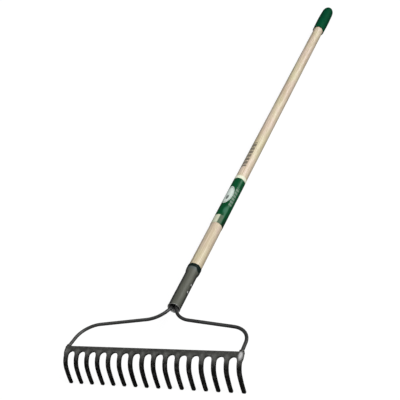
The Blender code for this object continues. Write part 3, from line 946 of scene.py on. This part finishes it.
def ferrule_profile(start, end, outer):
    """The tube's section: up its outside from a rolled lip to the cup's rim, and back down its bore."""
    lip = FERRULE_WALL / 2
    bore = FERRULE_RADIUS - FERRULE_WALL
    cup_bore = outer - CUP_WALL
    rim = CUP_WALL / 2
    bell_end = start + BELL_LENGTH
    bell = (start, bell_end)
    tube_end = CUP_START - 1.5 * MM
    points = arc((BELL_RADIUS - lip, start + lip), lip, -180, 0, 8)
    points += eased(start + 1.2 * MM, bell_end, 0.8 * MM, bell, (BELL_RADIUS, FERRULE_RADIUS))
    points += straight(FERRULE_RADIUS, bell_end + 1 * MM, tube_end, 2.5 * MM)
    points += eased(CUP_START + 1 * MM, CUP_FULL - 0.5 * MM, 0.8 * MM,
                    (CUP_START, CUP_FULL), (FERRULE_RADIUS, outer - 0.25 * MM))
    points += straight(outer - 0.15 * MM, CUP_FULL + 0.5 * MM, end - 2.2 * MM, 1.2 * MM)
    points += arc((outer - rim, end - 0.75 * MM), rim, -30, 180, 10)
    points += straight(cup_bore, end - 1.5 * MM, CUP_FULL, 3 * MM)
    points += eased(SHOULDER_END, CUP_START + 0.5 * MM, 1.2 * MM,
                    (CUP_START, SHOULDER_END + 0.5 * MM), (bore, cup_bore))
    points += straight(bore, tube_end, bell_end + 1 * MM, 12 * MM)
    points += eased(bell_end, start + 1 * MM, 1 * MM, bell, (BELL_RADIUS - FERRULE_WALL, bore))
    return points


def build_ferrule(material):
    """A drawn tube with a seam underneath, dimples round its rivets and faint dents."""
    start, end = stations("ferrule")

    def swell(angle, radius, station):
        seam = turn_between(angle, math.pi) * radius
        away = -0.35 * MM * math.exp(-(seam / (0.5 * MM)) ** 2)
        for rivet in RIVET_STATIONS.values():
            for side in (math.pi / 2, -math.pi / 2):
                span = math.hypot(turn_between(angle, side) * radius, station - rivet)
                away -= 0.45 * MM * math.exp(-(span / (4.2 * MM)) ** 2)
        dent = wobble((math.sin(angle) * radius, station, math.cos(angle) * radius), 22 * MM)
        return away + (dent - 1) * 0.05 * MM

    shape = lathe(ferrule_profile(start, end, radius_of("ferrule")), 160, swell=swell, closed=True)

    def rubbed_and_lit(place):
        station = place.y - MOUTH_Y
        radius = math.hypot(place.x, place.z - AXIS_Z)
        if radius < FERRULE_RADIUS - 0.4 * MM:
            # painted light: the bore gets high values near the mouth so that it shows bright
            return 2.4 * (1 - smooth_step(station, 0.0, 16 * MM))
        return 1.2 * math.exp(-((station - start) / (1.3 * MM)) ** 2)

    add_piece("ferrule_drawn", shape, material, "ferrule", edge=rubbed_and_lit, sharp=60)


def build_rivet(name, station, node, material):
    """A peened rivet: two low domed heads pulled down into the ferrule's dimples."""
    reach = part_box(node)[1].x
    base = reach - RIVET_HEAD_HEIGHT - RIVET_SUNK
    crown = [(0.0, reach)]
    for step in range(1, 9):
        angle = math.radians(11) * step
        height = (reach - base) * math.cos(angle) ** 0.85
        crown.append((RIVET_HEAD_RADIUS * math.sin(angle), base + height))
    crown += [(RIVET_HEAD_RADIUS, base + 0.15 * MM), (RIVET_HEAD_RADIUS - 0.2 * MM, base)]
    crown.append((RIVET_RADIUS, base))
    profile = crown + [(size, -place) for size, place in reversed(crown)]
    centre = Vector((0, MOUTH_Y + station, AXIS_Z))

    def swell(angle, size, place):
        if size < RIVET_RADIUS * 1.05:
            return 0.0
        bruise = wobble((math.sin(angle), math.cos(angle), place / MM), 0.9, station / MM)
        return (bruise - 1) * 0.12 * MM

    shape = lathe(profile, 40, place=across_point(centre), swell=swell)
    add_piece(name, shape, material, node, sharp=55)


# ---------------------------------------------------------------- handle, wrap and grip

def build_handle(material):
    """A turned handle: a domed top, and a shoulder and bored tenon inside the ferrule."""
    start, top = stations("handle")
    radius = radius_of("handle")
    dome_base = top - HANDLE_DOME
    profile = dome(radius, dome_base, HANDLE_DOME, 16)
    profile += straight(radius, dome_base, SHOULDER_END + 1 * MM, 7 * MM)
    profile += [
        (radius, SHOULDER_END), (TENON_RADIUS, TENON_END), (TENON_RADIUS, start + END_CHAMFER),
        (TENON_RADIUS - END_CHAMFER, start), (BORE_RADIUS, start), (BORE_RADIUS, BORE_END), (0.0, BORE_END),
    ]

    def swell(angle, size, station):
        if station < SHOULDER_END + 0.5 * MM or size < radius * 0.9:
            return 0.0
        place = (math.sin(angle) * size, station * 0.12, math.cos(angle) * size)
        return (wobble(place, 16 * MM, 2.0) - 1) * 0.06 * MM

    shape = lathe(profile, 96, swell=swell)
    add_piece("handle_ash", shape, material, "handle", sharp=35)


def build_label(material):
    """A film wrap whose end laps over its start under the handle."""
    start, end = stations("handle_label")
    outer = radius_of("handle_label") - LABEL_LAP - 0.01 * MM
    profile = [(LABEL_INNER, end), (outer - LABEL_EDGE, end), (outer, end - LABEL_EDGE)]
    profile += straight(outer, end - 2 * MM, start + 2 * MM, 4 * MM)
    profile += [(outer, start + LABEL_EDGE), (outer - LABEL_EDGE, start), (LABEL_INNER, start)]

    def swell(angle, radius, station):
        if radius < outer - 2 * LABEL_EDGE:
            return 0.0
        lap = LABEL_LAP if 172 <= math.degrees(angle) <= 194 else 0.0
        place = (math.sin(angle) * radius, station * 0.4, math.cos(angle) * radius)
        return lap + (wobble(place, 12 * MM, 6.0) - 1) * 0.03 * MM

    shape = lathe(profile, 144, swell=swell, closed=True)
    add_piece("label_wrap", shape, material, "handle_label", sharp=60)


def grip_profile(start, top, largest):
    """The sleeve's section: a domed end, a slow swell, a groove behind a rolled lip, and its bore."""
    base = top - GRIP_DOME
    points = dome(GRIP_RADIUS, base, GRIP_DOME, 25)
    for station in evenly(base, start + 5.5 * MM, 2.5 * MM):
        share = (base - station) / (base - start)
        points.append((GRIP_RADIUS + (largest - GRIP_RADIUS) * math.sin(math.pi * share), station))
    points += [(GRIP_RADIUS - 0.25 * MM, start + 4.6 * MM), (GRIP_RADIUS - 0.3 * MM, start + 4.0 * MM)]
    points += arc((GRIP_RADIUS - 1.1 * MM, start + 1.6 * MM), 1.35 * MM, 60, -70, 9)
    points += [(GRIP_RADIUS - 1.4 * MM, start + 0.1 * MM), (GRIP_INNER + GRIP_EDGE, start)]
    bore_end = stations("handle")[1] - HANDLE_DOME
    points += [(GRIP_INNER, start + GRIP_EDGE), (GRIP_INNER, bore_end)]
    return points + dome(GRIP_INNER, bore_end, HANDLE_DOME + 0.3 * MM, 12)[::-1]


def build_grip(material):
    """A dipped vinyl sleeve, slightly uneven where the vinyl ran."""
    start, top = stations("end_grip")

    def swell(angle, size, station):
        place = (math.sin(angle) * size, station * 0.5, math.cos(angle) * size)
        outside = smooth_step(size, GRIP_INNER + 0.5 * MM, GRIP_INNER + 1.5 * MM)
        return (wobble(place, 14 * MM, 8.0) - 1) * 0.09 * MM * outside

    shape = lathe(grip_profile(start, top, radius_of("end_grip")), 96, swell=swell)
    add_piece("grip_dipped", shape, material, "end_grip", sharp=60)


# ---------------------------------------------------------------- studio

def paper():
    """Close to white for the camera, and dull in the light that it throws back at the rake."""
    pale, paler = (0.80, 0.80, 0.80), (0.84, 0.84, 0.835)
    shaded_share = 0.16
    g = Graph("floor_paper")
    g.finish(Base_Color=g.mix(g.noise(3), pale, paler), Roughness=0.9)
    glow = g.node("Emission", {"Color": (1.0, 1.0, 1.0), "Strength": 1.1}).outputs[0]
    seen = g.node("MixShader", {0: shaded_share, 1: glow, 2: g.shader.outputs[0]}).outputs[0]
    bounced = g.node("BsdfDiffuse", {"Color": (0.18, 0.18, 0.18)}).outputs[0]
    camera_ray = g.node("LightPath").outputs["Is Camera Ray"]
    both = g.node("MixShader", {0: camera_ray, 1: bounced, 2: seen}).outputs[0]
    g.tree.links.new(both, g.tree.nodes["Material Output"].inputs["Surface"])
    return g.material


def build_floor():
    """A sweep of paper, tilted so that the tine tips and the grip both rest on it."""
    tips_y = COMB_LOW.y + 4 * MM
    grip_low, grip_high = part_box("end_grip")
    rest_y = grip_high.y - 60 * MM
    tilt = math.atan2(grip_low.z - COMB_LOW.z, rest_y - tips_y)
    shape = bmesh.new()
    bmesh.ops.create_grid(shape, x_segments=24, y_segments=24, size=9.0)
    place = Matrix.Translation((0, tips_y, COMB_LOW.z - 0.4 * MM)) @ Matrix.Rotation(tilt, 4, "X")
    bmesh.ops.transform(shape, matrix=place, verts=shape.verts[:])
    mesh = bpy.data.meshes.new("floor")
    shape.to_mesh(mesh)
    shape.free()
    mesh.materials.append(paper())
    floor = bpy.data.objects.new("floor", mesh)
    bpy.context.scene.collection.objects.link(floor)


def add_lamp(name, direction, spread, strength):
    """A broad soft light from far off: its spread is the angle that it fills, in degrees."""
    lamp = bpy.data.lights.new(name, "SUN")
    lamp.angle = math.radians(spread)
    lamp.energy = strength
    placed = bpy.data.objects.new(name, lamp)
    placed.rotation_euler = Vector(direction).to_track_quat("Z", "Y").to_euler()
    bpy.context.scene.collection.objects.link(placed)


def build_world():
    """White behind the rake, and a faint cool light on it from all round."""
    world = bpy.data.worlds.new("studio")
    world.use_nodes = True
    bpy.context.scene.world = world
    tree = world.node_tree
    surround = tree.nodes["Background"]
    surround.inputs["Color"].default_value = (0.9, 0.95, 1.0, 1.0)
    surround.inputs["Strength"].default_value = 0.15
    white = tree.nodes.new("ShaderNodeBackground")
    white.inputs["Color"].default_value = (1, 1, 1, 1)
    mixed = tree.nodes.new("ShaderNodeMixShader")
    path = tree.nodes.new("ShaderNodeLightPath")
    tree.links.new(path.outputs["Is Camera Ray"], mixed.inputs[0])
    tree.links.new(surround.outputs[0], mixed.inputs[1])
    tree.links.new(white.outputs[0], mixed.inputs[2])
    tree.links.new(mixed.outputs[0], tree.nodes["World Output"].inputs["Surface"])


def build_camera():
    """The photo's viewpoint and lens, from fitting them to the comb, bow, ferrule and grip."""
    half_a_pixel = 0.5 / 400
    viewpoint = (0.8124, -0.8949, 0.97932)
    ahead = Vector((-0.4654, 0.7204, -0.5142)).normalized()
    roughly_up = Vector((0.0568, 0.6041, 0.7949))
    right = ahead.cross(roughly_up).normalized()
    turned = Matrix((right, right.cross(ahead), -ahead)).transposed().to_4x4()
    data = bpy.data.cameras.new("camera")
    data.sensor_width = 36
    data.lens = 72.72
    data.shift_x = -half_a_pixel
    data.shift_y = half_a_pixel
    data.clip_start = 0.05
    data.clip_end = 50
    camera = bpy.data.objects.new("camera", data)
    camera.matrix_world = Matrix.Translation(viewpoint) @ turned
    bpy.context.scene.collection.objects.link(camera)
    bpy.context.scene.camera = camera


def build_rake():
    head = enamel(
        "head_enamel", dark=(0.012, 0.012, 0.0098), light=(0.033, 0.0335, 0.0275), roughness=0.42,
        lighter_where=(20 * MM, 150 * MM))
    bow = enamel(
        "bow_enamel", dark=(0.022, 0.022, 0.0215), light=(0.048, 0.048, 0.047), roughness=0.40,
        lighter_where=(0.0, -130 * MM))
    build_comb(head)
    bead = weld_metal()
    for word, side in (("left", -1), ("right", 1)):
        build_arm("bow_rod_" + word, side, "bow_arm_" + word, bow)
        build_weld("weld_bead_" + word, side, "bow_weld_" + word, bead)
    build_ferrule(ferrule_enamel())
    rivet = zinc()
    for node, station in RIVET_STATIONS.items():
        build_rivet("peened_" + node, station, node, rivet)
    build_handle(ash_wood())
    build_label(printed_wrap())
    build_grip(vinyl())


build_rake()
build_floor()
build_world()
build_camera()
add_lamp("key", (0.72, 0.05, 0.58), 40, 2.5)
add_lamp("sheen", (0.587, 0.72, 0.369), 30, 0.55)
add_lamp("top", (-0.45, -0.25, 0.85), 40, 0.7)
bpy.context.scene.view_settings.view_transform = "Standard"
